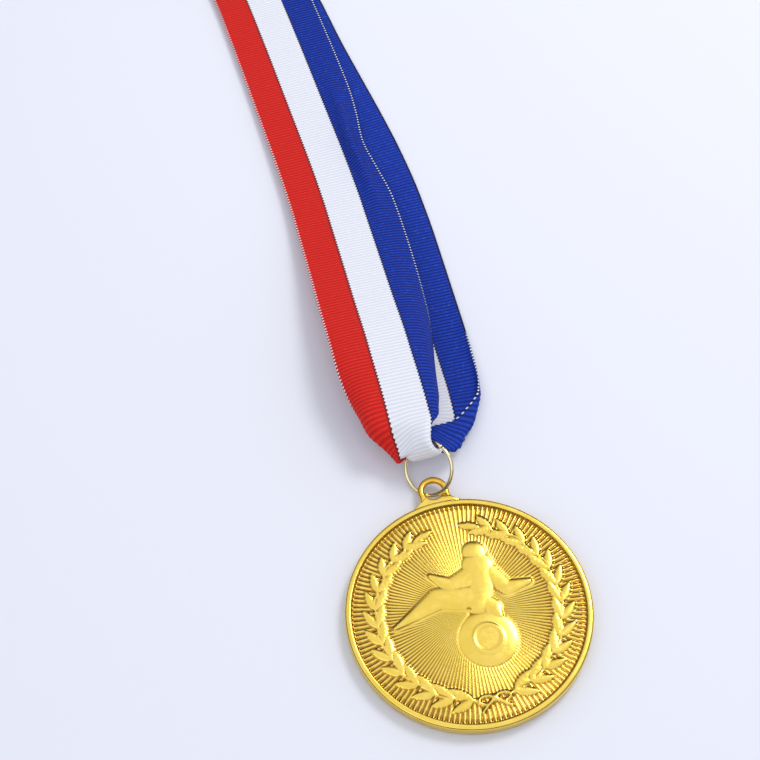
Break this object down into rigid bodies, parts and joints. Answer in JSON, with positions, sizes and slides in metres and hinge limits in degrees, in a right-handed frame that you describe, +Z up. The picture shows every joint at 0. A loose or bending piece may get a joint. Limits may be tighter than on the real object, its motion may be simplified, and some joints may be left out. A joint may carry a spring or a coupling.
{
  "type": "sports medal",
  "caption": "Round cast medal with a raised rim and an ear, hung by a cut wire ring from a striped neck ribbon that lies folded behind it.",
  "frame": {"origin": "centre of the medal's flat back face, on the surface that it lies on", "axes": "+Z up through the struck front; +Y from the medal's centre to its ear and on along the ribbon; +X to the right seen from the front"},
  "size_m": [0.051, 0.3075, 0.0129],
  "materials": {
    "gold_cast": "bright gold plate over a cast relief",
    "gold_wire": "bright pale gold plated wire",
    "ribbon_weave": "ribbed grosgrain in red, white and blue stripes",
    "thread": "white polyester sewing thread"
  },
  "bodies": {
    "ribbon": {"neck_ribbon": "ribbon_weave", "seam_thread": "thread"},
    "ring": {"jump_ring": "gold_wire"},
    "medal": {"medal": "gold_cast"}
  },
  "joints": [
    {"name": "ring_swing", "type": "hinge", "parent": "ribbon", "child": "ring", "pos_m": [0.00005, 0.03808, 0.00693], "axis": [-0.7989, 0.2535, -0.5454], "range_deg": [0, 80]},
    {"name": "medal_swing", "type": "hinge", "parent": "ring", "child": "medal", "pos_m": [0.00005, 0.02842, 0.00244], "axis": [-0.7989, 0.2535, -0.5454], "range_deg": [0, 60]}
  ]
}
